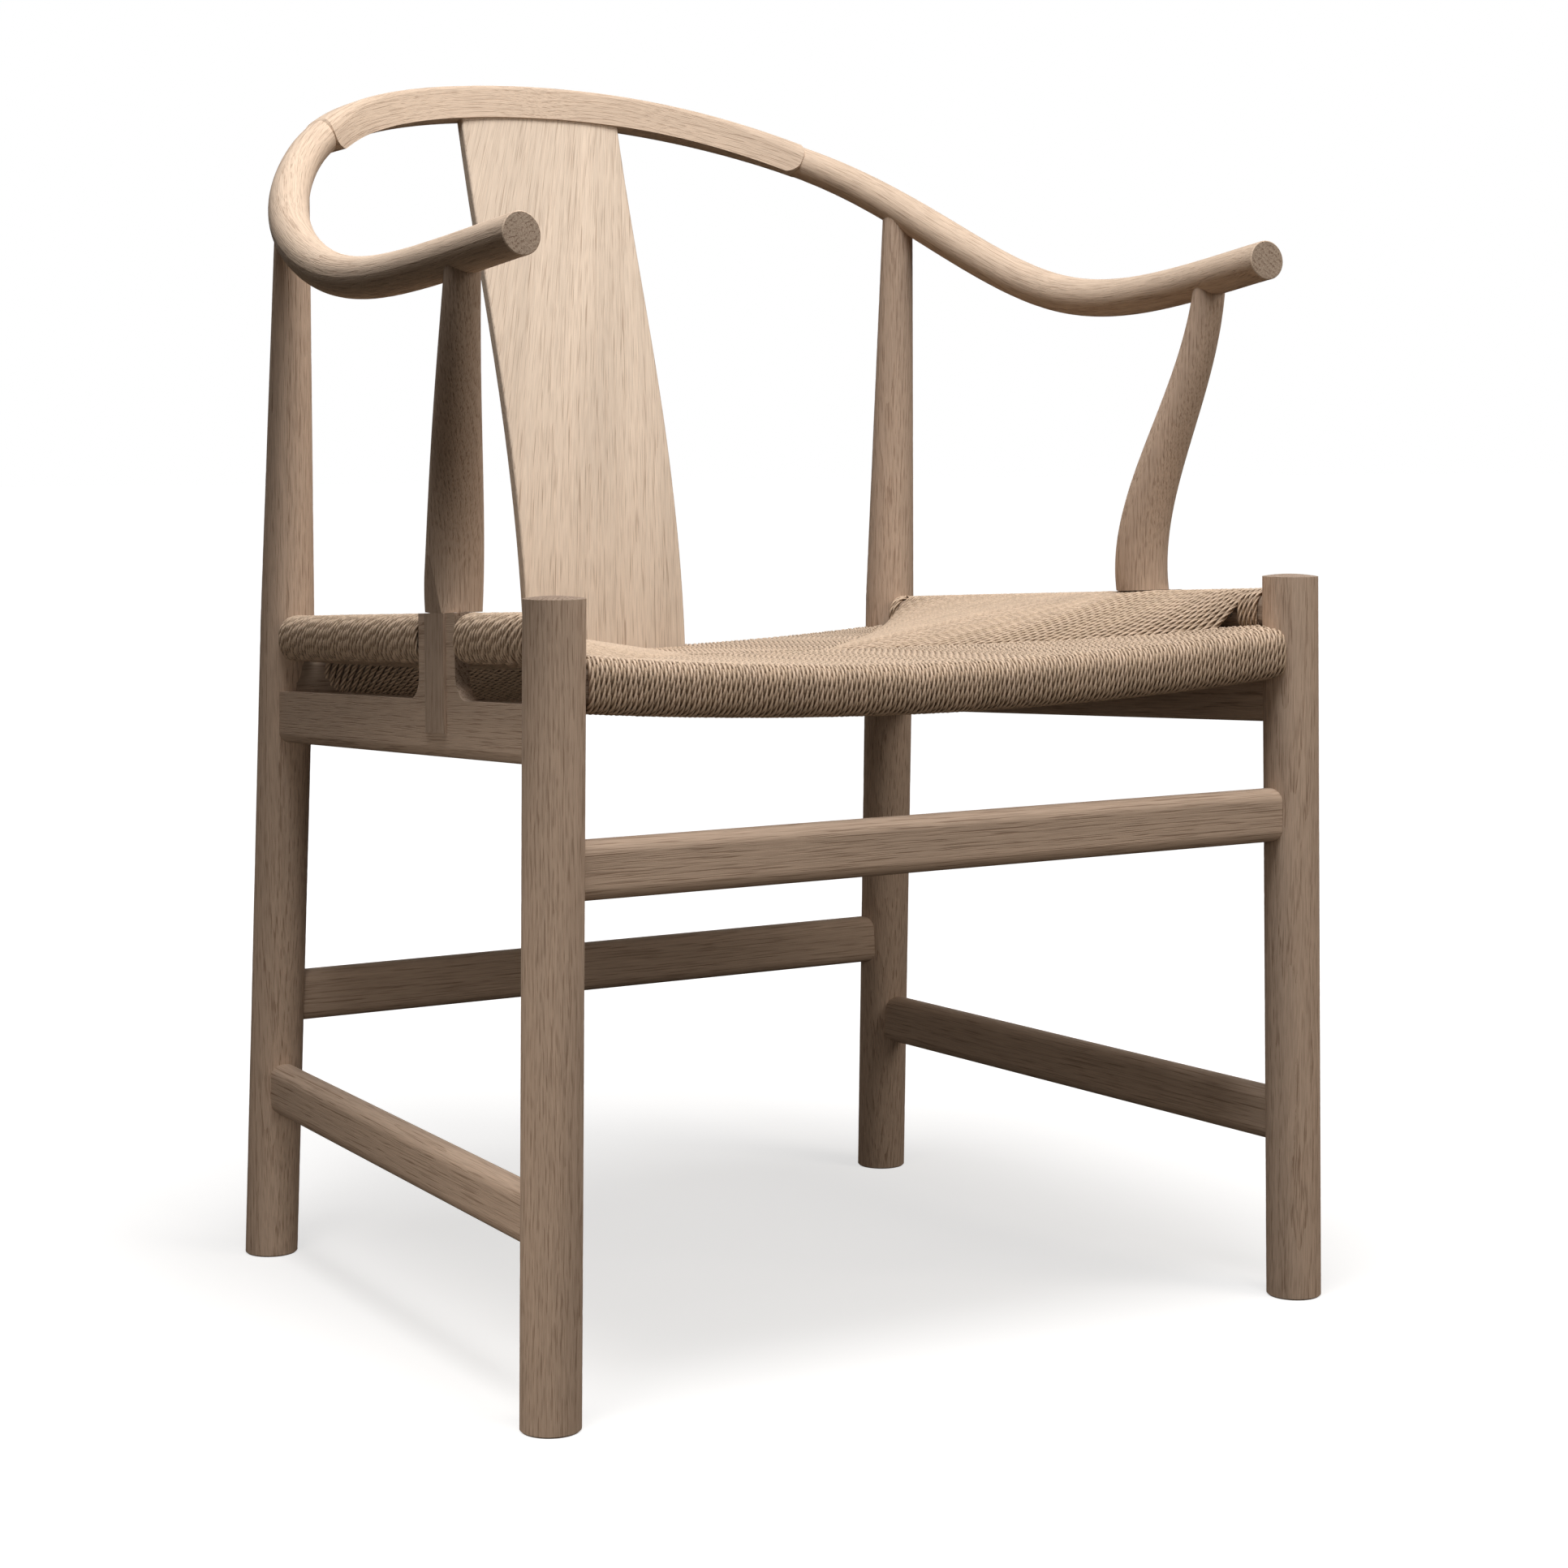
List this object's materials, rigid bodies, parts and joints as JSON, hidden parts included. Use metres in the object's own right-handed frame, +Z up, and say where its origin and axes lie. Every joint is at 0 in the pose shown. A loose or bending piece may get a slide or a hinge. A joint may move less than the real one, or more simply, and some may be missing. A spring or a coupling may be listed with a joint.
{
  "type": "horseshoe back armchair",
  "caption": "Oak armchair with a bent horseshoe rail for back and arms, a curved splat, round legs and a dished seat of woven paper cord.",
  "frame": {"origin": "on the floor, under the middle of the chair's bounding box", "axes": "+Z up, -Y the way the chair faces, +X the sitter's left"},
  "size_m": [0.576, 0.5614, 0.7983],
  "materials": {
    "oak": "soaped oak, matt",
    "paper_cord": "twisted natural paper cord",
    "tack_steel": "plain steel"
  },
  "bodies": {
    "root": {"front_leg_left": "oak", "front_leg_right": "oak", "rear_leg_left": "oak", "rear_leg_right": "oak", "arm_rail": "oak", "back_splat": "oak", "arm_post_left": "oak", "arm_post_right": "oak", "side_apron_left": "oak", "side_apron_right": "oak", "side_seat_rail_left": "oak", "side_seat_rail_right": "oak", "front_seat_rail": "oak", "rear_seat_rail": "oak", "front_stretcher": "oak", "rear_stretcher": "oak", "side_stretcher_left": "oak", "side_stretcher_right": "oak", "woven_cord_seat": "paper_cord", "cord_tacks": "tack_steel"}
  },
  "joints": []
}
